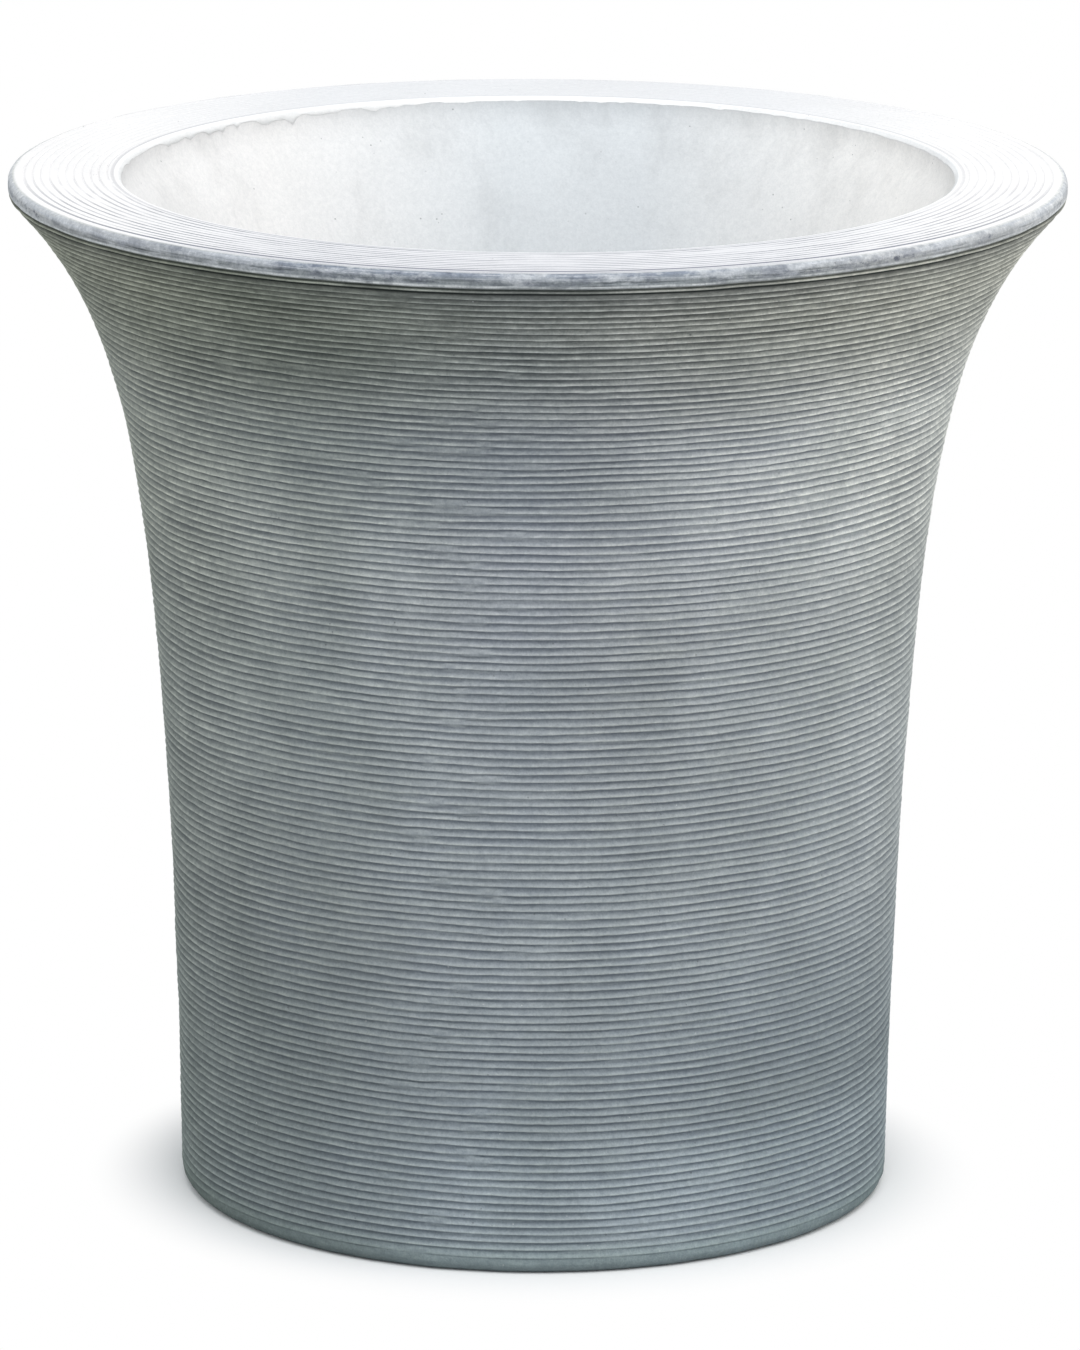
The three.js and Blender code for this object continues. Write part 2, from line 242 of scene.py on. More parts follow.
# %% Write the wall as a formula
MM = 0.001
FOOT_RADIUS = 207.5 * MM
TAPER = 10.2 * MM
SWEEP = 38.0 * MM
SWEEP_POWER = 2.66
FLARE_POWER = 9.5
BAND_HEIGHT = 10.4 * MM
WALL_TOP = HEIGHT - BAND_HEIGHT
FLARE = RIM_RADIUS - FOOT_RADIUS - TAPER - SWEEP


def wall_radius(height):
    """Radius of the ribs' crests at a height."""
    share = np.maximum(height, 0.0) / WALL_TOP
    return FOOT_RADIUS + TAPER * share + SWEEP * share**SWEEP_POWER + FLARE * share**FLARE_POWER


CURVE_SAMPLES = 4000
curve_height = np.linspace(0.0, HEIGHT, CURVE_SAMPLES)
curve_radius = wall_radius(curve_height)
curve_steps = np.hypot(np.diff(curve_radius), np.diff(curve_height))
curve_length = np.concatenate(([0.0], np.cumsum(curve_steps)))
curve_slope = np.gradient(curve_radius, curve_height)


def on_wall(length):
    """Radius, height and outward normal at a distance along the wall's curve."""
    height = np.interp(length, curve_length, curve_height)
    radius = np.interp(length, curve_length, curve_radius)
    slope = np.interp(height, curve_height, curve_slope)
    steep = np.hypot(1.0, slope)
    return radius, height, 1.0 / steep, -slope / steep


WALL_LENGTH = float(np.interp(WALL_TOP, curve_height, curve_length))
print("wall length along its curve", round(WALL_LENGTH / MM), "mm")

# %% [markdown]
# ## Smooth randomness that closes on itself
#
# Handwork wanders. A rib drifts up and down a little, its depth changes, its edge breaks. Each of
# these is a random height at the corners of a coarse grid, blended smoothly in between. The grid
# wraps round the planter, so there is no join at the back, and every use has its own seed.

# %% Make the noise
SIDES = 480
QUARTER = math.pi / 2
ONE_ROW = [0.0]
angles = 2.0 * math.pi * np.arange(SIDES) / SIDES


def smooth_step(value, start, end):
    """0 before start, 1 after end, smooth between."""
    share = np.clip((value - start) / (end - start), 0.0, 1.0)
    return share * share * (3.0 - 2.0 * share)


def wander(lumps_round, along, lump_size, seed):
    """Smooth noise from -1 to 1, for each place along (rows) and each angle (columns)."""
    along = np.asarray(along, dtype=float) / lump_size
    rows = int(math.ceil(float(along.max()) - float(along.min()))) + 3
    grid = np.random.default_rng(seed).uniform(-1.0, 1.0, (rows, lumps_round))
    across = np.arange(SIDES) * lumps_round / SIDES
    column = np.floor(across).astype(int)
    blend_x = smooth_step(across - column, 0.0, 1.0)
    start = along - along.min()
    row = np.floor(start).astype(int)
    blend_y = smooth_step(start - row, 0.0, 1.0)[:, None]
    next_column = (column + 1) % lumps_round
    column = column % lumps_round
    low = grid[row][:, column] * (1.0 - blend_x) + grid[row][:, next_column] * blend_x
    high = grid[row + 1][:, column] * (1.0 - blend_x) + grid[row + 1][:, next_column] * blend_x
    return low * (1.0 - blend_y) + high * blend_y


def layered(along, layers, total=0.0):
    """A sum of noises, each given by its amount, lumps round, lump size and seed."""
    for amount, lumps_round, lump_size, seed in layers:
        total = total + amount * wander(lumps_round, along, lump_size, seed)
    return total


def patches(lumps_round, along, lump_size, seed, start, end):
    """1 in patches where the noise is over end, 0 where it is under start."""
    return smooth_step(wander(lumps_round, along, lump_size, seed), start, end)


print("noise test", np.round(wander(5, [0.0, 1.0], 1.0, 1)[:, :3], 2).tolist())

# %% [markdown]
# ## Rings
#
# A turned shape is a stack of rings. Each ring here is one row of numbers: a radius and a height for
# every angle, and four masks that the paint will need. They say how far out on a rib the ring lies,
# how pale its concrete is, how far it belongs to the rim's face, and how far to its lip. Sections of
# the planter are made one after another and stacked at the end.

# %% Collect rings
MASKS = ("crest", "pale", "band", "lip")
rings = {key: [] for key in ("radius", "height") + MASKS}


def add_rings(radius, height, crest, pale, band=0.0, lip=0.0):
    """Adds a block of rings, given as rows by angle; single numbers are spread over the block."""
    block = np.asarray(radius, dtype=float)
    for key, value in zip(rings, (block, height, crest, pale, band, lip)):
        rings[key].append(np.broadcast_to(np.asarray(value, dtype=float), block.shape))


print("a ring holds", ", ".join(rings))

# %% [markdown]
# ## Underside and foot
#
# Underneath, the casting is flat around the drain. The foot's edge is rounded by hand and is never
# quite even, so a low wander moves it by a fraction of a millimetre.

# %% Make the underside and the foot
DRAIN_RADIUS = 17.0 * MM
FOOT_EDGE = 8.0 * MM
UNDERSIDE_LIFT = 0.05 * MM
UNDERSIDE_RINGS = 10
CORNER_POINTS = 9
FOOT_WOBBLE = ((0.5 * MM, 40, 3.0, 11), (0.4 * MM, 110, 2.0, 12))

underside_radii = np.linspace(DRAIN_RADIUS, FOOT_RADIUS - FOOT_EDGE, UNDERSIDE_RINGS)
flat = np.repeat(underside_radii[:, None], SIDES, axis=1)
add_rings(flat, UNDERSIDE_LIFT, crest=0.3, pale=0.1)

foot_turn = np.linspace(-QUARTER, 0.0, CORNER_POINTS)[1:-1]
foot_wobble = np.abs(layered(foot_turn, FOOT_WOBBLE))
foot_radius = FOOT_RADIUS - FOOT_EDGE + FOOT_EDGE * np.cos(foot_turn)[:, None] - foot_wobble
foot_height = FOOT_EDGE + FOOT_EDGE * np.sin(foot_turn)[:, None]
add_rings(foot_radius, foot_height, crest=0.35, pale=0.0)
print("foot", round(FOOT_RADIUS / MM, 1), "mm in radius")

# %% [markdown]
# ## The combed wall
#
# A comb was drawn round the wet surface, tilted upwards. Each tooth left a slope that rises to a
# sharp crest and then drops back underneath it, like a row of roof tiles. Light from above catches
# the slopes and leaves a thin dark line under every crest, and the rings' colour paints that line
# darker still, as painted shade. So a ring follows each rib at seven fixed places across it, whose
# heights are the profile of one tooth.

# %% Lay out the ribs
RIB_PITCH = 4.7 * MM
RIB_DEPTH = 1.75 * MM
RIBS_END = 4.6 * MM
TOOTH = (
    # place across the rib, height, colour from hollow to crest (darkest just under the crest, painted shade)
    (-0.31, 0.00, 0.08),
    (-0.21, 0.04, 0.00),
    (-0.12, 0.90, 0.60),
    (-0.01, 1.00, 1.00),
    (0.10, 0.80, 0.60),
    (0.26, 0.40, 0.35),
    (0.47, 0.12, 0.21),
)

combed = WALL_LENGTH - RIBS_END - FOOT_EDGE
rib_count = int(round(combed / RIB_PITCH))
pitch = combed / rib_count
rib_number = np.repeat(np.arange(rib_count), len(TOOTH))
place, tooth_height, tooth_tone = (np.tile(column, rib_count) for column in np.array(TOOTH).T)
wall_rows = FOOT_EDGE + (rib_number + 0.5 + place) * pitch
print("ribs", rib_count, "at", round(pitch / MM, 2), "mm")

# %% [markdown]
# ## Where the ribs drift and meet
#
# No hand keeps a comb level. The ribs drift over long stretches and tremble over short ones, and
# only at the foot and under the rim does a straight edge hold them. The strokes met in front, a
# little left of the middle. There the hollows were smeared shut, and the ribs of one stroke don't
# quite meet those of the next.

# %% Move the ribs
RIB_DRIFT = (
    # share of the pitch, lumps round, ribs in a lump, seed
    (0.28, 9, 16.0, 21),
    (0.10, 23, 7.0, 22),
    (0.055, 31, 1.0, 23),
    (0.03, 90, 1.0, 34),
)
RING_DRIFT = ((0.045, 210, 1.0, 40),)
CALM_FOOT = (12.0 * MM, 50.0 * MM)
CALM_RIM = 30.0 * MM
STROKE_END = math.radians(-101.5)
STROKE_START = math.radians(65.0)
STROKE_BLEND = 0.035
START_BLEND = 0.1
STROKE_SHIFT = 0.15
END_SWAY = ((0.17, 1, 1.3, 24), (0.09, 1, 7.0, 25))
SMEAR_WIDTH = 0.022
SMEAR_SWAY = 0.016


def from_angle(centre):
    """Signed angle from a centre, from -pi to pi, for each column."""
    return (angles[None, :] - centre + math.pi) % (2.0 * math.pi) - math.pi


drift = layered(rib_number, RIB_DRIFT)
drift = layered(np.arange(len(rib_number)), RING_DRIFT, drift)
calm_rim = 1.0 - smooth_step(wall_rows, WALL_LENGTH - CALM_RIM, WALL_LENGTH)
calm_ends = smooth_step(wall_rows, *CALM_FOOT) * calm_rim

past_end = from_angle(layered(rib_number, END_SWAY, STROKE_END))
past_start = smooth_step(from_angle(STROKE_START), -START_BLEND, START_BLEND)
second_stroke = smooth_step(past_end, -STROKE_BLEND, STROKE_BLEND) * (1.0 - past_start)
drift = drift + STROKE_SHIFT * wander(1, rib_number, 8.0, 35) * second_stroke
length = wall_rows[:, None] + drift * calm_ends[:, None] * pitch

end_width = SMEAR_WIDTH + SMEAR_SWAY * wander(1, rib_number, 1.0, 26)
smeared = 1.0 - smooth_step(np.abs(past_end), end_width * 0.5, end_width * 1.6)
smeared = smeared * patches(1, rib_number, 1.0, 27, -0.15, 0.45)
dab = patches(60, rib_number, 1.0, 36, 0.62, 0.92) * patches(7, rib_number, 18.0, 37, -0.1, 0.6)
smeared = np.maximum(smeared, 0.8 * dab)
print("largest drift", round(float(np.abs(length - wall_rows[:, None]).max()) / MM, 2), "mm")

# %% [markdown]
# ## How the ribs are worn
#
# Crests were rubbed off in patches, hollows are filled here and there, and the lowest ribs fade into
# a smooth foot. Each kind of wear lowers the depth or raises the hollows of the same tooth. The
# colour mask is worked out beside it, so that a filled hollow is also a paler one.

# %% Wear the ribs
SMOOTH_FOOT = 10.0 * MM
CREST_SINK = 0.05 * MM
PATCH_WEAR = 0.22
EVEN_WEAR = 0.12
SMEAR_WEAR = 0.75
FOOT_LEAST = 0.34
SMEAR_TONE = 0.45
FOOT_TONE = 0.36
WALL_LUMPS = ((0.32 * MM, 26, 0.045, 32), (0.14 * MM, 120, 0.011, 33))

worn = PATCH_WEAR * patches(14, rib_number, 9.0, 28, 0.35, 0.95)
worn = worn + EVEN_WEAR * (wander(60, rib_number, 1.0, 29) * 0.5 + 0.5)
foot_fade = FOOT_LEAST + (1.0 - FOOT_LEAST) * smooth_step(length, SMOOTH_FOOT * 0.7, SMOOTH_FOOT * 1.8)
broken = patches(70, rib_number, 1.0, 30, -0.2, 0.5)
foot_fade = foot_fade * (1.0 - (1.0 - foot_fade) * 0.7 * broken)
depth = RIB_DEPTH * (1.0 - SMEAR_WEAR * smeared) * (1.0 - worn) * foot_fade

full = tooth_height[:, None] * (1.0 - EVEN_WEAR * (wander(90, rib_number, 1.0, 31) * 0.5 + 0.5))
hollow_fill = 0.16 * (wander(24, rib_number, 2.0, 38) + 0.3) * (place > 0.2)[:, None]
under_fill = 0.55 * patches(70, rib_number, 1.0, 39, -0.1, 0.9) * (place < -0.15)[:, None]
full = np.clip(full + hollow_fill + under_fill, 0.0, 1.0)
radius, height, out_radius, out_height = on_wall(length)
inward = depth * (1.0 - full) + CREST_SINK - layered(wall_rows, WALL_LUMPS)

tone = tooth_tone[:, None] + 0.8 * hollow_fill + 0.5 * under_fill
tone = tone * (1.0 - smeared) + SMEAR_TONE * smeared
tone = tone * foot_fade + FOOT_TONE * (1.0 - foot_fade)
add_rings(radius - out_radius * inward, height - out_height * inward, tone, pale=0.0)
print("deepest hollow", round(float(depth.max()) / MM, 2), "mm")

# %% [markdown]
# ## The rim's face
#
# The casting ends in a plain upright face about eight millimetres high. Its lower edge is where the
# mould closed: a chipped lip, then a thin gap, then one more ridge before the ribs begin. A short list
# gives these steps from below. The face is rough, with pits and torn places, which three noises give.

# %% Make the rim's face
RIM_EDGE = 4.2 * MM
FACE_ROWS = 12
FACE_SINK = 0.15 * MM
PIT_DEPTH = 0.55 * MM
TEAR_DEPTH = 0.45 * MM
LIP = (
    # height above the wall's top, depth behind the rim, colour from hollow to crest, share of lip;
    # the low colours paint the gap and the hollow under the ridge dark, as painted shade
    (-1.8 * MM, 3.8 * MM, 0.00, 0.0),
    (-0.9 * MM, 2.4 * MM, 0.00, 0.0),
    (-0.6 * MM, 1.2 * MM, 0.56, 0.0),
    (-0.2 * MM, 0.8 * MM, 0.66, 0.0),
    (0.2 * MM, 1.1 * MM, 0.50, 0.0),
    (0.7 * MM, 1.9 * MM, 0.12, 0.0),
    (1.4 * MM, 1.8 * MM, 0.12, 0.0),
    (2.1 * MM, 0.9 * MM, 0.90, 1.0),
    (2.4 * MM, 0.3 * MM, 1.00, 1.0),
)

lip_sway = 0.2 * MM * wander(64, ONE_ROW, 1.0, 42)
lip_nicks = 0.40 * MM * np.maximum(wander(150, ONE_ROW, 1.0, 41), 0.0)
lip_wear = 0.78 + 0.30 * wander(60, ONE_ROW, 1.0, 47)
for rise, deep, lip_tone, lip_share in LIP:
    worn_tone = lip_tone * (lip_share + (1.0 - lip_share) * lip_wear)
    lip_radius = RIM_RADIUS - deep - lip_nicks
    lip_height = WALL_TOP + rise + lip_sway
    add_rings(lip_radius, lip_height, worn_tone, 0.0, band=lip_share, lip=lip_share)

face_share = np.linspace(0.0, 1.0, FACE_ROWS + 2)[1:-1]
face_height = lip_height + (HEIGHT - RIM_EDGE - lip_height) * face_share[:, None]
pits = patches(200, face_share, 0.18, 44, 0.40, 0.95)
tears = patches(70, face_share, 0.3, 45, 0.35, 0.9)
sink = FACE_SINK + FACE_SINK * (wander(50, face_share, 0.5, 46) + 1.0)
sink = sink + PIT_DEPTH * pits + TEAR_DEPTH * tears
near_lip = np.exp(-face_share / 0.10)[:, None]
face_radius = RIM_RADIUS - sink * (1.0 - near_lip) - (RIM_RADIUS - lip_radius) * near_lip
face_lip = 1.0 - smooth_step(face_share, 0.10, 0.45)[:, None]
add_rings(face_radius, face_height, 0.6 - 0.5 * pits - 0.3 * tears, 0.0, band=1.0, lip=face_lip)
print("rim's face", round((HEIGHT - WALL_TOP) / MM, 1), "mm high with its lip and its edge")

# %% [markdown]
# ## The grooved rim
#
# The top of the rim is flat, with eleven narrow grooves at the comb's pitch. The lands between them
# stay wide, because here the teeth only scratched the surface. Outside them all there is one more,
# which comes and goes, and a shallow one runs beside the mouth, deepest at the back on the left. Each
# groove is seven rings, and its depth changes on its way round.

# %% Groove the rim
GROOVE_PITCH = 4.76 * MM
GROOVE_COUNT = 11
GROOVE_HALF = 0.75 * MM
GROOVE_DEPTH = 0.56 * MM
GROOVE_STEPS = (
    # place across the groove, depth, colour from hollow to crest, which says where the groove is painted
    # grey as shade
    (1.15, 0.00, 1.0),
    (0.95, 0.06, 0.3),
    (0.45, 0.70, 0.0),
    (0.00, 1.00, 0.0),
    (-0.45, 0.70, 0.0),
    (-0.95, 0.06, 0.3),
    (-1.15, 0.00, 1.0),
)
FIRST_GROOVE = RIM_RADIUS - 9.3 * MM
STRAY_GROOVE = RIM_RADIUS - 5.4 * MM
MOUTH_RADIUS = 240.0 * MM
MOUTH_EDGE = 1.6 * MM
LAST_GROOVE = 244.9 * MM
EDGE_POINTS = 7
EDGE_SINK = 0.1 * MM
RIM_SINK = 0.04 * MM
LEFT_BACK = math.radians(142.0)

edge_turn = np.linspace(0.0, QUARTER, EDGE_POINTS)
edge_round = RIM_EDGE - 0.15 * MM * (wander(90, edge_turn, 0.6, 51) + 1.0)
edge_radius = RIM_RADIUS - RIM_EDGE + edge_round * np.cos(edge_turn)[:, None] - EDGE_SINK
edge_height = HEIGHT - RIM_EDGE + edge_round * np.sin(edge_turn)[:, None]
edge_above = smooth_step(edge_turn, 1.10, 1.57)[:, None]
add_rings(edge_radius, edge_height, 0.8, edge_above, band=1.0 - edge_above)

in_front = smooth_step(-np.sin(angles), 0.55, 0.95)
left_back = 0.12 + 0.88 * np.exp(-((from_angle(LEFT_BACK) / 0.45) ** 2))
stray_strength = np.maximum(wander(9, ONE_ROW, 1.0, 90)[0], 0.0)
grooves = [(STRAY_GROOVE, stray_strength, GROOVE_HALF)]
first_strength = 1.15 + 0.25 * wander(23, ONE_ROW, 1.0, 88)[0]
grooves.append((FIRST_GROOVE, first_strength, (1.35 + 0.75 * in_front) * GROOVE_HALF))
for number in range(1, GROOVE_COUNT):
    strength = layered(ONE_ROW, ((0.30, 41, 1.0, 91 + number), (0.34, 120, 1.0, 130 + number)), 0.66)[0]
    grooves.append((FIRST_GROOVE - GROOVE_PITCH * number, np.maximum(strength, 0.05), GROOVE_HALF))
last_strength = 0.24 + 0.24 * wander(9, ONE_ROW, 1.0, 89)[0] + 0.5 * left_back[0]
grooves.append((LAST_GROOVE, last_strength, 1.3 * GROOVE_HALF))

for number, (centre, strength, half) in enumerate(grooves):
    sway = layered(ONE_ROW, ((0.24 * MM, 17, 1.0, 60 + number), (0.12 * MM, 60, 1.0, 150 + number)))[0]
    for step, low, groove_tone in GROOVE_STEPS:
        groove_height = HEIGHT - RIM_SINK - GROOVE_DEPTH * strength * low
        groove_crest = 1.0 - np.minimum(strength, 1.0) * (1.0 - groove_tone)
        add_rings((centre + sway + half * step)[None, :], groove_height, groove_crest, pale=1.0)
print("grooves on the rim", len(grooves))

# %% [markdown]
# ## The mouth
#
# The rim's inner edge turns down into a thin skin of lime that broke off a little way down, where the
# core was pulled out. It hangs lowest at the back on the left. Its ragged end is a sum of three
# noises, cut off below zero so that they only ever pull it down.

# %% Make the skin at the mouth
LIP_DROP = 8.0 * MM
SKIN_LEAN = 1.2 * MM
SKIN_THICK = 0.30 * MM
SKIN_TEARS = (
    # amount, lumps round, seed
    (0.45, 44, 121),
    (0.6, 130, 122),
    (0.8, 240, 118),
)
SKIN_STEPS = (
    # drop below the skin's end, colour from hollow to crest; lower colours mix in painted shade under the
    # skin
    (0.0, 0.62),
    (0.5 * MM, 0.70),
    (1.4 * MM, 0.75),
    (3.0 * MM, 0.75),
)
WALL = 50.0 * MM
inside_steep = np.hypot(1.0, curve_slope)
inside_radius = curve_radius - WALL / inside_steep
inside_height = curve_height + WALL * curve_slope / inside_steep


def inside_at(level):
    """Radius of the inside at a height."""
    return np.minimum(np.interp(level, inside_height, inside_radius), MOUTH_RADIUS)


lip_turn = np.linspace(QUARTER, math.pi, EDGE_POINTS)
lip_round = MOUTH_EDGE - 0.1 * MM * (wander(70, lip_turn, 0.6, 120) + 1.0)
lip_radius = MOUTH_RADIUS + SKIN_LEAN + MOUTH_EDGE + lip_round * np.cos(lip_turn)[:, None]
lip_height = HEIGHT - MOUTH_EDGE + lip_round * np.sin(lip_turn)[:, None]
add_rings(lip_radius, lip_height, 1.0, 1.0, lip=1.0)

ragged = np.zeros((1, SIDES))
for amount, lumps_round, seed in SKIN_TEARS:
    ragged = ragged + amount * np.maximum(wander(lumps_round, ONE_ROW, 1.0, seed), 0.0)
lip_end = HEIGHT - MOUTH_EDGE - 0.3 * MM - (LIP_DROP - MOUTH_EDGE) * (0.1 + ragged) * left_back
add_rings(MOUTH_RADIUS - 0.2 * MM * left_back, lip_end, 1.0, 1.0, lip=1.0)
step_in = SKIN_THICK * left_back * np.minimum(0.3 + ragged * 2.0, 1.0)
below_lip = lip_end - 0.25 * MM
for drop, lip_tone in SKIN_STEPS:
    add_rings(inside_at(below_lip - drop) + step_in, below_lip - drop, lip_tone, pale=0.93)
print("skin ends", round(float(HEIGHT - lip_end.min()) / MM, 1), "mm down at most")

# %% [markdown]
# ## The inside
#
# Below the skin the wall is smooth with faint trowel waves, and one upright line shows where the core
# was joined. The inside follows the outside at an even thickness, so its curve is the outside's,
# moved in square to the surface, down to a rounded corner and a nearly flat floor.

# %% Make the inside
INSIDE_ROWS = 80
FLOOR = 50.0 * MM
FLOOR_CORNER = 14.0 * MM
FLOOR_SINK = 0.25 * MM
FLOOR_RINGS_INSIDE = 24
CORE_JOINT = math.radians(105.5)
JOINT_DEPTH = 0.35 * MM
JOINT_WIDTH = 0.006
TROWEL_WAVES = ((0.30 * MM, 18, 0.12, 123), (0.12 * MM, 70, 0.03, 124))

wall_start = below_lip - SKIN_STEPS[-1][0]
corner_top = FLOOR + FLOOR_CORNER
inside_share = np.linspace(0.0, 1.0, INSIDE_ROWS + 1)[1:]
inside_rows = wall_start + (corner_top - wall_start) * inside_share[:, None]
waves = layered(inside_share, TROWEL_WAVES) + step_in * np.exp(-inside_share / 0.05)[:, None]
waves = waves - JOINT_DEPTH * np.exp(-((from_angle(CORE_JOINT) / JOINT_WIDTH) ** 2))
add_rings(inside_at(inside_rows) + waves, inside_rows, 0.75, pale=0.93)

corner_turn = np.linspace(0.0, -QUARTER, CORNER_POINTS)[1:]
corner_middle = inside_at(corner_top) - FLOOR_CORNER
corner_radius = corner_middle + FLOOR_CORNER * np.cos(corner_turn)[:, None] + np.zeros((1, SIDES))
corner_sink = FLOOR_SINK * smooth_step(-corner_turn, 0.0, 1.5)[:, None]
corner_height = corner_top + FLOOR_CORNER * np.sin(corner_turn)[:, None] - corner_sink
# Colours of 0.6 at the corner and 0.5 on the floor mix in more of the painted inside shade, so both are
# greyer.
add_rings(corner_radius, corner_height, 0.6, pale=0.85)

floor_radii = np.linspace(corner_middle, DRAIN_RADIUS, FLOOR_RINGS_INSIDE)[1:]
floor_waves = 0.12 * MM * wander(24, floor_radii * -1.0, 0.02, 125)
floor_grid = np.repeat(floor_radii[:, None], SIDES, axis=1)
add_rings(floor_grid, FLOOR - FLOOR_SINK + np.minimum(floor_waves, 0.1 * MM), 0.5, pale=0.8)
print("inside floor", round(corner_middle / MM, 1), "mm in radius")

# %% [markdown]
# ## Stack the rings into one mesh
#
# The last ring, at the drain's upper edge, joins the first, at its lower edge, so the casting is one
# closed skin. Filling a mesh from arrays is far quicker than adding faces one at a time.

# %% Build the planter's mesh
def mesh_from_rings(name, stacked):
    """One closed mesh from the stacked rings, with a float layer for each mask."""
    rows = len(stacked["radius"])
    points = np.empty((rows, SIDES, 3))
    points[:, :, 0] = stacked["radius"] * np.cos(angles)
    points[:, :, 1] = stacked["radius"] * np.sin(angles)
    points[:, :, 2] = stacked["height"]
    index = np.arange(rows * SIDES).reshape(rows, SIDES)
    next_row = np.roll(index, -1, axis=0)
    after = np.roll(index, -1, axis=1)
    after_next = np.roll(next_row, -1, axis=1)
    quads = np.stack([index, after, after_next, next_row], axis=2).reshape(-1, 4)
    mesh = bpy.data.meshes.new(name)
    mesh.vertices.add(rows * SIDES)
    mesh.vertices.foreach_set("co", points.reshape(-1))
    mesh.loops.add(quads.size)
    mesh.loops.foreach_set("vertex_index", quads.reshape(-1).astype(np.int32))
    mesh.polygons.add(len(quads))
    mesh.polygons.foreach_set("loop_start", np.arange(0, quads.size, 4, dtype=np.int32))
    mesh.polygons.foreach_set("use_smooth", np.ones(len(quads), dtype=bool))
    for mask in MASKS:
        layer = mesh.attributes.new(mask, "FLOAT", "POINT")
        layer.data.foreach_set("value", np.clip(stacked[mask], 0.0, 1.0).reshape(-1).astype(np.float32))
    return mesh


def add_unrolled(mesh, stacked):
    """A UV layer with the skin rolled out flat: round the planter across, along its profile down."""
    rows = len(stacked["radius"])
    steps = np.hypot(np.diff(stacked["radius"].mean(1)), np.diff(stacked["height"].mean(1)))
    along = np.concatenate(([0.0], np.cumsum(steps)))
    down = np.append(along / (along[-1] + DRAIN_RADIUS), 1.0)
    across = np.arange(SIDES + 1) / SIDES
    corners = np.empty((rows, SIDES, 4, 2))
    corners[:, :, (0, 3), 0] = across[None, :-1, None]
    corners[:, :, (1, 2), 0] = across[None, 1:, None]
    corners[:, :, (0, 1), 1] = down[:-1, None, None]
    corners[:, :, (2, 3), 1] = down[1:, None, None]
    unrolled = mesh.uv_layers.new(name="OFBake")
    unrolled.data.foreach_set("uv", corners.reshape(-1).astype(np.float32))


stacked_rings = {key: np.vstack(blocks) for key, blocks in rings.items()}
casting_mesh = mesh_from_rings("casting", stacked_rings)
add_unrolled(casting_mesh, stacked_rings)
casting_mesh.update(calc_edges=True)
casting_mesh.validate()

casting = bpy.data.objects.new("casting", casting_mesh)
scene.collection.objects.link(casting)
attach(casting, "planter")
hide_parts("planter_shell")
print("casting", len(casting.data.vertices), "points")

# %% [markdown]
# ## The drain screen
#
# Deep inside, a loose perforated disc keeps soil out of the drain. It is cut from a flat curve: one
# outer circle with small circles inside it, which fill as holes. A fine bevel softens every edge, and
# three short feet lift the disc. Its radius and its two heights are read from the CAD node, so it
# fits its place, and its holes are those of the CAD screen, made round.

# %% Make the drain screen
screen_low, screen_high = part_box("drain_screen")
SCREEN_RADIUS = screen_high[0]
SCREEN_THICKNESS = 3.0 * MM
SCREEN_EDGE = 0.4 * MM
HOLE_RADIUS = 4.0 * MM
HOLE_RINGS = ((12.0 * MM, 4), (28.0 * MM, 10))
SCREEN_FEET = 3
SCREEN_FOOT_RADIUS = 4.0 * MM
SCREEN_FOOT_AT = 41.0 * MM
CIRCLE_POINTS = 64


def flat_circles(name, circles, thickness, middle):
    """A curve of closed circles (x, y, radius), filled, given a thickness and softened edges."""
    outline = bpy.data.curves.new(name, "CURVE")
    outline.dimensions = "2D"
    outline.fill_mode = "BOTH"
    outline.extrude = thickness / 2.0 - SCREEN_EDGE
    outline.bevel_depth = SCREEN_EDGE
    outline.bevel_resolution = 2
    outline.offset = -SCREEN_EDGE
    for x, y, circle_radius in circles:
        spline = outline.splines.new("POLY")
        spline.points.add(CIRCLE_POINTS - 1)
        spline.use_cyclic_u = True
        for number, point in enumerate(spline.points):
            turned = 2.0 * math.pi * number / CIRCLE_POINTS
            across, along = circle_radius * math.cos(turned), circle_radius * math.sin(turned)
            point.co = (x + across, y + along, 0.0, 1.0)
    piece = bpy.data.objects.new(name, outline)
    scene.collection.objects.link(piece)
    bpy.context.view_layer.update()
    solid = bpy.data.meshes.new_from_object(piece.evaluated_get(bpy.context.evaluated_depsgraph_get()))
    bpy.data.objects.remove(piece)
    solid.transform(Matrix.Translation((0.0, 0.0, middle)))
    return solid


def ring_of_circles(ring_radius, count, circle_radius, shift=0.0):
    """Small circles (x, y, radius), evenly spaced on a ring."""
    turns = [2.0 * math.pi * (number + shift) / count for number in range(count)]
    return [(ring_radius * math.cos(t), ring_radius * math.sin(t), circle_radius) for t in turns]


disc_circles = [(0.0, 0.0, SCREEN_RADIUS)]
for ring_radius, count in HOLE_RINGS:
    disc_circles += ring_of_circles(ring_radius, count, HOLE_RADIUS)
feet = ring_of_circles(SCREEN_FOOT_AT, SCREEN_FEET, SCREEN_FOOT_RADIUS, shift=0.5)
foot_length = screen_high[2] - screen_low[2] - SCREEN_THICKNESS / 2.0
SCREEN_PARTS = (
    # name, circles, thickness, height of the middle
    ("screen_disc", disc_circles, SCREEN_THICKNESS, screen_high[2] - SCREEN_THICKNESS / 2.0),
    ("screen_feet", feet, foot_length, screen_low[2] + foot_length / 2.0),
)
for name, circles, thickness, middle in SCREEN_PARTS:
    piece = bpy.data.objects.new(name, flat_circles(name, circles, thickness, middle))
    scene.collection.objects.link(piece)
    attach(piece, "drain_screen")
    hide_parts("drain_screen")
print("drain screen", len(disc_circles) - 1, "holes")

# %% [markdown]
# ## Small helpers for materials
#
# A material here is a chain of noises and blends. These helpers add a node or two each and name what
# they are for, so that the materials below read as a list of what the eye sees.

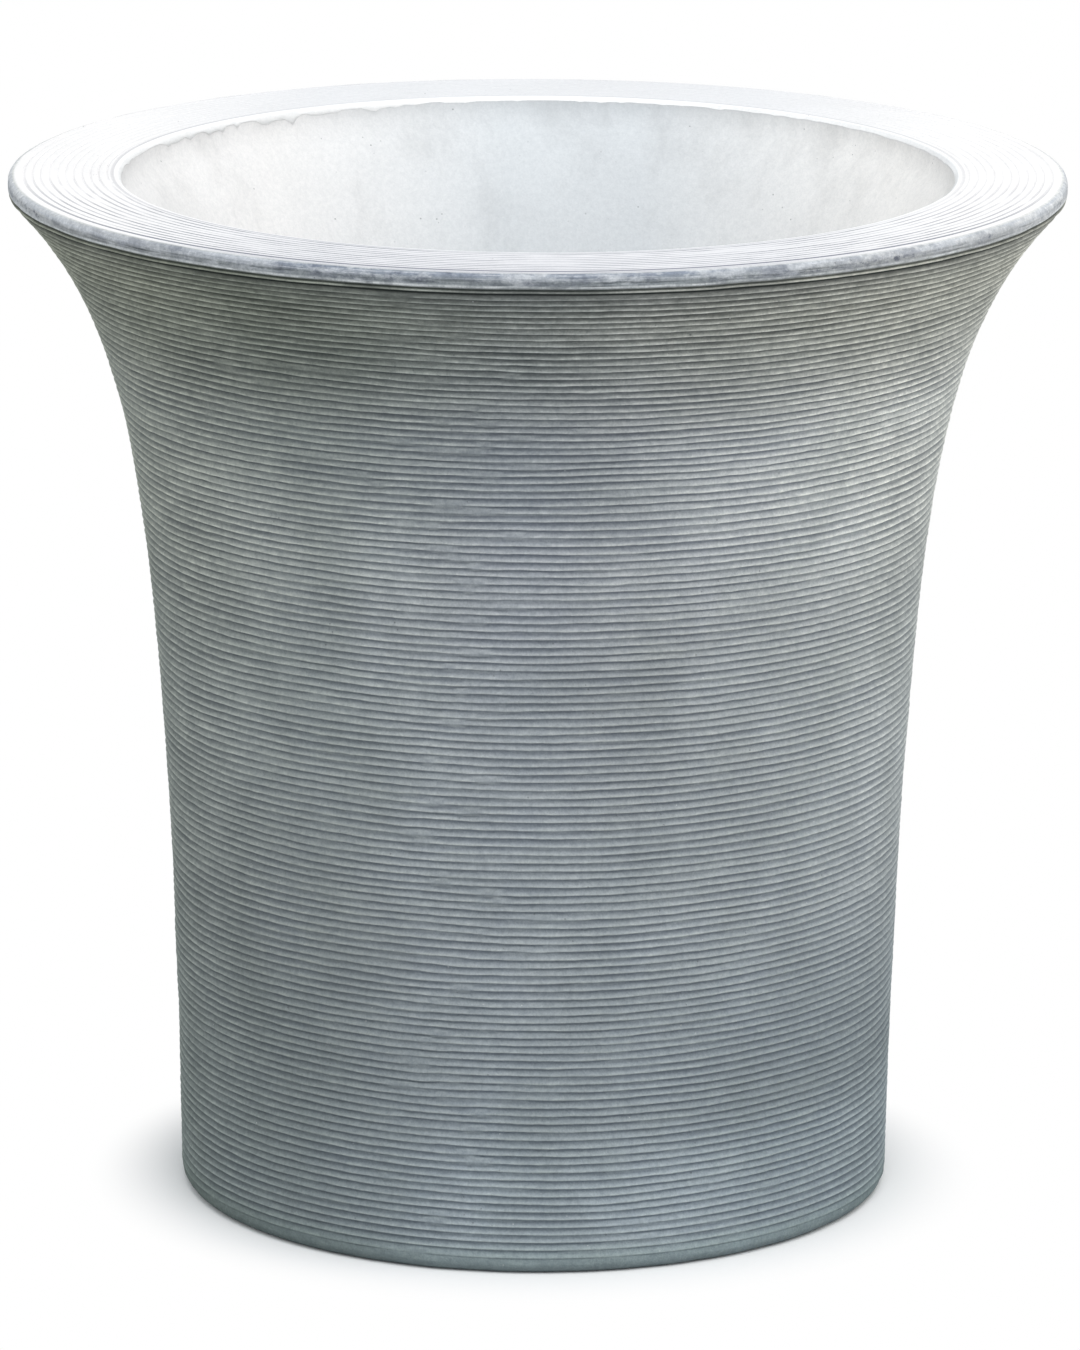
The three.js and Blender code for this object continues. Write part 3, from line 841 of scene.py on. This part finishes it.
# %% Material helpers
class Paint:
    """A node material that is built up one layer at a time."""

    def __init__(self, name):
        self.material = bpy.data.materials.new(name)
        self.material.use_nodes = True
        self.tree = self.material.node_tree
        self.shader = self.tree.nodes["Principled BSDF"]
        self.place = self.add("ShaderNodeTexCoord").outputs["Object"]

    def add(self, kind, *values, **named):
        """A new node of this material."""
        return add_node(self.tree, kind, *values, **named)

    def noise(self, scale, detail=3.0, rough=0.55, place=None, distort=0.0):
        """Noise from 0 to 1."""
        node = self.add("ShaderNodeTexNoise", Vector=place or self.place, Scale=scale, Detail=detail)
        give(self.tree, node.inputs["Roughness"], rough)
        give(self.tree, node.inputs["Distortion"], distort)
        return node.outputs["Fac"]

    def cells(self, scale):
        """Distance to the nearest of many scattered points."""
        return self.add("ShaderNodeTexVoronoi", Vector=self.place, Scale=scale).outputs["Distance"]

    def mask(self, name):
        """A float layer of the mesh."""
        node = self.add("ShaderNodeAttribute")
        node.attribute_name = name
        return node.outputs["Fac"]

    def axis(self, name):
        """One of the object's coordinates, in metres."""
        return self.add("ShaderNodeSeparateXYZ", self.place).outputs[name]

    def fit(self, value, low, high, to_low=0.0, to_high=1.0):
        """Stretches a value from one range to another, clamped."""
        return self.add("ShaderNodeMapRange", value, low, high, to_low, to_high).outputs["Result"]

    def streaks(self, scale, detail, rough, squeeze, low, high, to_low=0.0, to_high=1.0, distort=0.0):
        """Noise squeezed from top to bottom and stretched from one range to another."""
        place = self.add("ShaderNodeMapping", Vector=self.place, Scale=(1.0, 1.0, squeeze)).outputs["Vector"]
        return self.fit(self.noise(scale, detail, rough, place, distort), low, high, to_low, to_high)

    def near(self, place, start, end):
        """1 closer to a place than end, 0 further away than start."""
        node = self.add("ShaderNodeVectorMath", self.place, place)
        node.operation = "DISTANCE"
        return self.fit(node.outputs["Value"], start, end)

    def math(self, operation, first, second):
        """One sum on two values, either of which may be a number."""
        node = self.add("ShaderNodeMath", first, second)
        node.operation = operation
        return node.outputs[0]

    def both(self, first, second):
        """Two amounts together."""
        return self.math("MULTIPLY", first, second)

    def span(self, value, start, full, still, end):
        """1 from full to still, fading to 0 at start and at end."""
        return self.both(self.fit(value, start, full), self.fit(value, end, still))

    def grey(self, value):
        """A value as a colour."""
        return self.add("ShaderNodeCombineColor", value, value, value).outputs[0]

    def blend(self, amount, first, second, how="MIX"):
        """Blends two colours by an amount."""
        node = self.add("ShaderNodeMix", Factor=amount)
        node.data_type = "RGBA"
        node.blend_type = how
        give(self.tree, node.inputs[6], first)
        give(self.tree, node.inputs[7], second)
        return node.outputs[2]

    def layers(self, colour, table):
        """Blends layers over a colour, each given by its amount, its colour and its way of blending."""
        for amount, shade, how in table:
            colour = self.blend(amount, colour, shade, how)
        return colour

    def bump(self, height, strength, distance):
        """Fine relief."""
        node = self.add("ShaderNodeBump", Strength=strength, Distance=distance, Height=height)
        give(self.tree, self.shader.inputs["Normal"], node.outputs["Normal"])

    def finish(self, colour, roughness):
        """Connects the colour and the roughness."""
        give(self.tree, self.shader.inputs["Base Color"], colour)
        give(self.tree, self.shader.inputs["Roughness"], roughness)
        return self.material


print("helpers:", ", ".join(name for name in vars(Paint) if not name.startswith("_")))

# %% [markdown]
# ## Weathered concrete
#
# Two colours make the wall, a blue-grey dust in the hollows and a pale grey-green on the rubbed
# crests, and the mesh already carries the tone of each rib between them, with its painted line of
# shade under each crest. Both colours change to the sides and towards the ground. Under the flare
# they give way to a near-black in the hollows, painted shade, and a near-white on the crests, painted
# highlight. Streaks follow the comb's way, and every rib has its own, so the noise is squeezed from
# top to bottom. The helpers get short names, as many lines use them.

# %% Mix the wall's colour
HOLLOW = (0.205, 0.232, 0.272)
SIDE_HOLLOW = (0.148, 0.168, 0.196)
DUSTY_HOLLOW = (0.325, 0.362, 0.415)
FLARE_HOLLOW_SHADE = (0.046, 0.054, 0.051)
CREST = (0.680, 0.718, 0.706)
SIDE_CREST = (0.770, 0.812, 0.798)
LOW_CREST = (0.610, 0.648, 0.640)
FLARE_CREST_HIGHLIGHT = (0.970, 0.985, 0.930)
DAMP_BLOTCH = (0.36, 0.39, 0.40)
FLARE_GAIN = 1.06

concrete = Paint("concrete")
fit, both, span, near = concrete.fit, concrete.both, concrete.span, concrete.near
noise, streaks, blend, layers = concrete.noise, concrete.streaks, concrete.blend, concrete.layers
crest_mask, pale_mask, band_mask, lip_mask = (concrete.mask(name) for name in MASKS)
sideways, backward, upward = (concrete.axis(name) for name in "XYZ")

cloud = streaks(8.0, 3.0, 0.6, 0.6, 0.32, 0.68, distort=0.4)
blotch = fit(noise(24.0, 4.0, 0.6), 0.36, 0.66)
streak = streaks(34.0, 4.0, 0.6, 8.0, 0.32, 0.68)
dash = streaks(150.0, 3.0, 0.6, 3.0, 0.34, 0.66)
grain = noise(900.0, 2.0, 0.6)
grit = noise(330.0, 3.0, 0.6)

tone = both(crest_mask, fit(streak, 0.0, 1.0, 0.76, 1.08))
tone = both(tone, fit(dash, 0.0, 1.0, 0.76, 1.12))
far_out = both(sideways, sideways)
low_middle = both(fit(upward, 0.30, 0.14), fit(far_out, 0.040, 0.020))
to_side = fit(far_out, 0.018, 0.036)
dusty = near((0.06, -0.22, 0.18), 0.33, 0.15)
hollow_colour = blend(dusty, blend(to_side, HOLLOW, SIDE_HOLLOW), DUSTY_HOLLOW)
crest_colour = blend(low_middle, blend(to_side, CREST, SIDE_CREST), LOW_CREST)
# Under the flare the hollows are painted near-black as shade and the crests near-white as highlight.
flare_lit_and_shaded = blend(both(tone, FLARE_GAIN), FLARE_HOLLOW_SHADE, FLARE_CREST_HIGHLIGHT)
blotched = both(fit(blotch, 0.0, 1.0, 0.0, 0.24), fit(upward, 0.46, 0.38))
wall_colour = blend(tone, hollow_colour, crest_colour)
wall_colour = layers(wall_colour, (
    (fit(upward, 0.49, 0.565), flare_lit_and_shaded, "MIX"),
    (blotched, DAMP_BLOTCH, "MIX"),
))
print("concrete has", len(concrete.tree.nodes), "nodes so far")

# %% [markdown]
# ## Damp, dust, lime, painted light and painted shade over the wall
#
# No wall of this kind is one grey. It is darker and a little greenish on the left, low down and under
# the flare, which is painted shade, as the light comes from the right. The right side is painted paler
# and warmer, as light from that side along with a warm stain, and the wall is bluer towards the
# ground. Just below the rim's face it is painted darker, as shade under the rim. Each is a plain gain
# on the colour, faded in over a stretch of height or width, or around one place. All places are in
# metres, as the object's coordinates are.

# %% Weather the wall and paint its light and shade
right_side = fit(sideways, 0.03, 0.20)
left_side = fit(sideways, -0.06, -0.20)
under_rim = fit(upward, 0.50, 0.56)
below_flare = span(upward, 0.38, 0.42, 0.49, 0.53)
foot_band = fit(upward, 0.09, 0.06)
GAINS = (
    # amount over the wall, colour gain at full amount
    (fit(cloud, 0.0, 1.0), (0.80, 0.81, 0.80)),
    (fit(upward, 0.20, 0.0), (0.80, 0.84, 0.85)),
    (span(upward, 0.35, 0.43, 0.50, 0.54), (1.09, 1.07, 1.08)),
    (both(fit(sideways, -0.03, -0.09), below_flare), (1.12, 1.12, 1.11)),
    # Painted light: paler on the right below the flare.
    (both(fit(sideways, 0.05, 0.20), below_flare), (1.22, 1.22, 1.21)),
    # Painted shade: darker on the left under the flare.
    (both(fit(sideways, 0.05, -0.12), under_rim), (0.90, 0.91, 0.90)),
    # Painted shade: darker just below the rim's face.
    (span(upward, 0.577, 0.584, 0.5881, 0.5886), (0.80, 0.80, 0.81)),
    (near((-0.13, -0.26, 0.57), 0.19, 0.05), (0.80, 0.82, 0.80)),
    (near((0.11, -0.19, 0.33), 0.13, 0.05), (0.87, 0.87, 0.87)),
    (near((0.00, -0.22, 0.345), 0.12, 0.04), (1.11, 1.09, 1.10)),
    (near((-0.14, -0.17, 0.17), 0.17, 0.07), (0.89, 0.89, 0.89)),
    (both(fit(sideways, -0.12, -0.02), foot_band), (1.17, 1.17, 1.17)),
    (both(right_side, foot_band), (1.06, 1.06, 1.07)),
    (fit(upward, 0.020, 0.008), (0.99, 1.03, 0.97)),
    # Painted shade on the left, low down, with a greenish tint.
    (both(left_side, fit(upward, 0.32, 0.05)), (0.83, 0.84, 0.78)),
    (both(right_side, fit(upward, 0.22, 0.05)), (0.86, 0.88, 0.89)),
    # Painted light from the right, with a warm stain.
    (both(fit(sideways, 0.0, 0.20), fit(upward, 0.14, 0.46)), (1.46, 1.40, 1.30)),
    (both(fit(sideways, -0.02, -0.22), fit(upward, 0.0, 0.4)), (1.07, 1.05, 0.92)),
)
wall_colour = layers(wall_colour, [(amount, gain, "MULTIPLY") for amount, gain in GAINS])
print("gains on the wall", len(GAINS))

# %% [markdown]
# ## Lime on the rim and inside
#
# The rim and the inside are nearly white with lime, a little greyer where clouds of damp dried. The
# grooves are painted grey as shade, strongly in front, where they are seen from the side, and hardly
# at the back. The rim's top is painted darker in its middle and nearest part, as shade, and paler at
# its two ends, as light. The inside is painted paler to the left and right, as light, and greyer just
# under the skin and more so at its corner and floor, as shade. The rim takes over from the inside a
# few millimetres below its top.

# %% Mix the lime
RIM_MIDDLE_SHADED = (0.850, 0.846, 0.856)
RIM_ENDS_LIT = (0.975, 0.950, 0.938)
RIM_NEAREST_SHADED = (0.965, 0.960, 0.970)
GROOVE_PAINTED_SHADE = (0.265, 0.273, 0.315)
INSIDE_MIDDLE = (0.745, 0.770, 0.790)
INSIDE_LEFT_LIT = (0.900, 0.882, 0.870)
INSIDE_RIGHT_LIT = (0.990, 0.965, 0.935)
PAINTED_INSIDE_SHADE = (0.60, 0.61, 0.64)
SKIN_WHITE = (0.985, 0.978, 0.972)


def below_top(low, high, to_low=0.0, to_high=1.0):
    """Fades over a stretch of height, given in millimetres below the rim's top."""
    return fit(upward, HEIGHT - low * MM, HEIGHT - high * MM, to_low, to_high)


lime_cloud = fit(noise(10.0, 4.0, 0.6, distort=0.3), 0.30, 0.70, 0.94, 1.0)
smudge = streaks(26.0, 5.0, 0.65, 0.45, 0.50, 0.72, 1.0, 0.88)
from_axis = concrete.math("ADD", far_out, both(backward, backward))
radius_here = concrete.math("POWER", from_axis, 0.5)
# The grooves, and the last one beside the mouth, are painted grey as shade.
last_groove_here = fit(radius_here, 0.2470, 0.2464, 0.0, 0.5)
groove_shade_seen = concrete.math("MAXIMUM", fit(backward, -0.02, -0.20, 0.06, 1.0), last_groove_here)
groove_shade_seen = both(groove_shade_seen, fit(crest_mask, 0.15, 1.0, 1.0, 0.0))
# Painted light on the rim's top: darker in the middle and nearest part as shade, paler at the two ends as
# light.
rim_lime = blend(fit(far_out, 0.015, 0.06), RIM_MIDDLE_SHADED, RIM_ENDS_LIT)
rim_lime = layers(rim_lime, (
    (fit(backward, -0.16, -0.27), RIM_NEAREST_SHADED, "MULTIPLY"),
    (groove_shade_seen, GROOVE_PAINTED_SHADE, "MIX"),
))
# The inside is painted paler to the left and right, as light falling on those sides.
inside_lime = blend(fit(sideways, -0.02, -0.16), INSIDE_MIDDLE, INSIDE_LEFT_LIT)
inside_lime = layers(inside_lime, (
    (fit(sideways, 0.06, 0.21), INSIDE_RIGHT_LIT, "MIX"),
    # Painted shade: greyer just under the skin, and more so at the inside's corner and floor.
    (fit(crest_mask, 0.3, 0.75, 0.5, 0.0), PAINTED_INSIDE_SHADE, "MIX"),
    (1.0, concrete.grey(smudge), "MULTIPLY"),
))
lime_colour = layers(blend(below_top(1.5, 3.5), rim_lime, inside_lime), (
    (1.0, concrete.grey(lime_cloud), "MULTIPLY"),
    (lip_mask, SKIN_WHITE, "MIX"),
))
print("concrete has", len(concrete.tree.nodes), "nodes so far")

# %% [markdown]
# ## The colour of the rim's face
#
# The rim's face has a colour of its own: lavender streaks above, a row of dark pits, plain grey
# below them, and bright chips along its lower edge. To both sides it turns pale. Each mark is a noise
# of its own size, kept to the heights where it belongs.

# %% Mix the rim's face
FACE_LOW = (0.335, 0.360, 0.372)
FACE_HIGH = (0.315, 0.350, 0.420)
SIDE_LOW = (0.460, 0.462, 0.455)
SIDE_HIGH = (0.740, 0.740, 0.740)
FACE_ENDS = (0.980, 0.975, 0.965)

face_side = blend(below_top(6.0, 3.5), SIDE_LOW, SIDE_HIGH)
face_side = blend(fit(far_out, 0.066, 0.086), face_side, FACE_ENDS)
face_left = fit(sideways, -0.13, -0.25, 0.0, 0.85)
face_right = fit(sideways, 0.08, 0.20)
face_colour = blend(below_top(4.2, 1.0), FACE_LOW, FACE_HIGH)
face_colour = blend(concrete.math("MAXIMUM", face_left, face_right), face_colour, face_side)

smear = streaks(15.0, 5.0, 0.7, 38.0, 0.47, 0.60, 0.0, 0.90)
dry = streaks(42.0, 5.0, 0.7, 3.0, 0.50, 0.60, 0.0, 0.75)
scuff = streaks(60.0, 5.0, 0.7, 2.2, 0.50, 0.40, 0.0, 0.85)
pit = streaks(110.0, 5.0, 0.75, 2.0, 0.50, 0.62, 0.0, 0.85)
pit = both(pit, fit(noise(11.0, 2.0), 0.46, 0.60, 0.1, 1.0))
pit_row = both(below_top(7.0, 5.5), below_top(2.0, 3.8))
mottle = fit(noise(230.0, 5.0, 0.8), 0.36, 0.64, 0.0, 0.9)
chip = streaks(130.0, 4.0, 0.7, 0.6, 0.40, 0.55, 0.45, 1.0)
chip = both(chip, fit(noise(18.0, 2.0), 0.40, 0.58, 0.50, 1.0))
face_colour = layers(face_colour, (
    (both(smear, below_top(5.5, 2.5, 0.25, 1.0)), (0.760, 0.780, 0.815), "MIX"),
    (both(dry, below_top(7.5, 5.0, 0.35, 1.0)), (0.740, 0.755, 0.780), "MIX"),
    (both(scuff, fit(far_out, 0.075, 0.045, 0.2, 1.0)), (0.66, 0.67, 0.71), "MULTIPLY"),
    (both(pit_row, pit), (0.130, 0.145, 0.190), "MIX"),
    (mottle, (0.70, 0.71, 0.72), "MULTIPLY"),
    (both(lip_mask, chip), (0.860, 0.875, 0.865), "MIX"),
))

top_edge = both(fit(radius_here, 0.3008, 0.3026), below_top(2.0, 0.8))
colour = layers(wall_colour, (
    (fit(pale_mask, 0.1, 0.8), lime_colour, "MIX"),
    (concrete.math("MAXIMUM", band_mask, top_edge), face_colour, "MIX"),
))
print("concrete has", len(concrete.tree.nodes), "nodes so far")

# %% [markdown]
# ## Specks and grain
#
# Air bubbles leave small dark pinholes, sand grains show as a few white specks, and the whole
# surface has the fine grain of cement. The grain is both colour and relief. It is far too fine for
# the mesh, so this is where a bump belongs.

# %% Add specks and grain
RELIEF_STRENGTH = 0.45
RELIEF_HEIGHT = 0.8 * MM


def specks(scale, rim, core, patch_scale, patch_low, patch_high):
    """Small round specks from rim to core of a cell's distance, in patches."""
    patch = fit(noise(patch_scale, 2.0), patch_low, patch_high)
    return both(fit(concrete.cells(scale), rim, core), patch)


dark_speck = specks(150.0, 0.10, 0.06, 40.0, 0.54, 0.62)
white_speck = specks(95.0, 0.045, 0.025, 33.0, 0.48, 0.56)
fine = concrete.math("ADD", fit(grain, 0.3, 0.7, 0.0, 0.5), fit(grit, 0.35, 0.65, 0.0, 0.5))
fine = both(fit(fine, 1.0, 0.0, 0.0, 0.75), fit(pale_mask, 0.0, 1.0, 1.0, 0.35))
colour = layers(colour, (
    (both(dark_speck, 0.5), (0.16, 0.17, 0.18), "MIX"),
    (both(white_speck, 0.7), (0.80, 0.82, 0.80), "MIX"),
    (fine, (0.58, 0.60, 0.62), "MULTIPLY"),
))

relief = concrete.math("ADD", both(grit, 0.7), both(grain, 0.3))
relief = concrete.math("SUBTRACT", relief, both(dark_speck, 0.8))
relief = both(relief, fit(pale_mask, 0.0, 1.0, 1.0, 0.4))
concrete.bump(relief, RELIEF_STRENGTH, RELIEF_HEIGHT)
concrete.shader.inputs["Specular IOR Level"].default_value = 0.25
casting.data.materials.append(concrete.finish(colour, fit(grit, 0.3, 0.7, 0.86, 0.96)))
print("concrete has", len(concrete.tree.nodes), "nodes")

# %% [markdown]
# ## Steel and plastic
#
# The cage is zinc-coated bar that nobody sees once the planter is cast. The chairs, the sleeve and
# the screen are plain moulded plastic, dulled by soil. Each keeps its CAD shape, which is already
# right, and only gets a finish, apart from the screen.

# %% Mix the steel and the plastics
ZINC_DARK = (0.42, 0.44, 0.46)
ZINC_BRIGHT = (0.62, 0.64, 0.66)
ZINC_DULL = (0.70, 0.70, 0.68)

steel = Paint("galvanised_steel")
steel_colour = steel.blend(steel.fit(steel.cells(170.0), 0.0, 0.6), ZINC_DARK, ZINC_BRIGHT)
steel_colour = steel.blend(steel.fit(steel.noise(60.0, 4.0), 0.55, 0.75, 0.0, 0.6), steel_colour, ZINC_DULL)
steel.shader.inputs["Metallic"].default_value = 0.85
steel.bump(steel.noise(500.0, 2.0), 0.15, 0.3 * MM)
steel.finish(steel_colour, steel.fit(steel.noise(90.0, 3.0), 0.3, 0.7, 0.38, 0.60))


def dusty_plastic(name, clean, dusty, roughness):
    """A moulded plastic with a film of dried silt."""
    plastic = Paint(name)
    film = plastic.fit(plastic.noise(70.0, 5.0, 0.65), 0.42, 0.68, 0.05, 0.65)
    plastic.bump(plastic.noise(800.0, 2.0), 0.2, 0.2 * MM)
    return plastic.finish(plastic.blend(film, clean, dusty), plastic.fit(film, 0.0, 1.0, roughness, 0.85))


finishes = {
    "concrete": concrete.material,
    "galvanised_steel": steel.material,
    "chair_plastic": dusty_plastic("chair_plastic", (0.20, 0.21, 0.22), (0.55, 0.55, 0.52), 0.55),
    "pipe_plastic": dusty_plastic("pipe_plastic", (0.66, 0.67, 0.65), (0.50, 0.48, 0.43), 0.42),
    "screen_plastic": dusty_plastic("screen_plastic", (0.022, 0.023, 0.025), (0.20, 0.18, 0.15), 0.50),
}
for name, *_ in SCREEN_PARTS:
    bpy.data.objects[name].data.materials.append(finishes["screen_plastic"])
slot_of = {part["node"]: part["material_slot"] for part in frame["record"]["subparts"]}
for name, node in frame["nodes"].items():
    node.data.materials.clear()
    node.data.materials.append(finishes[slot_of[name]])
print("finished nodes", len(frame["nodes"]))

# %% [markdown]
# ## Finish
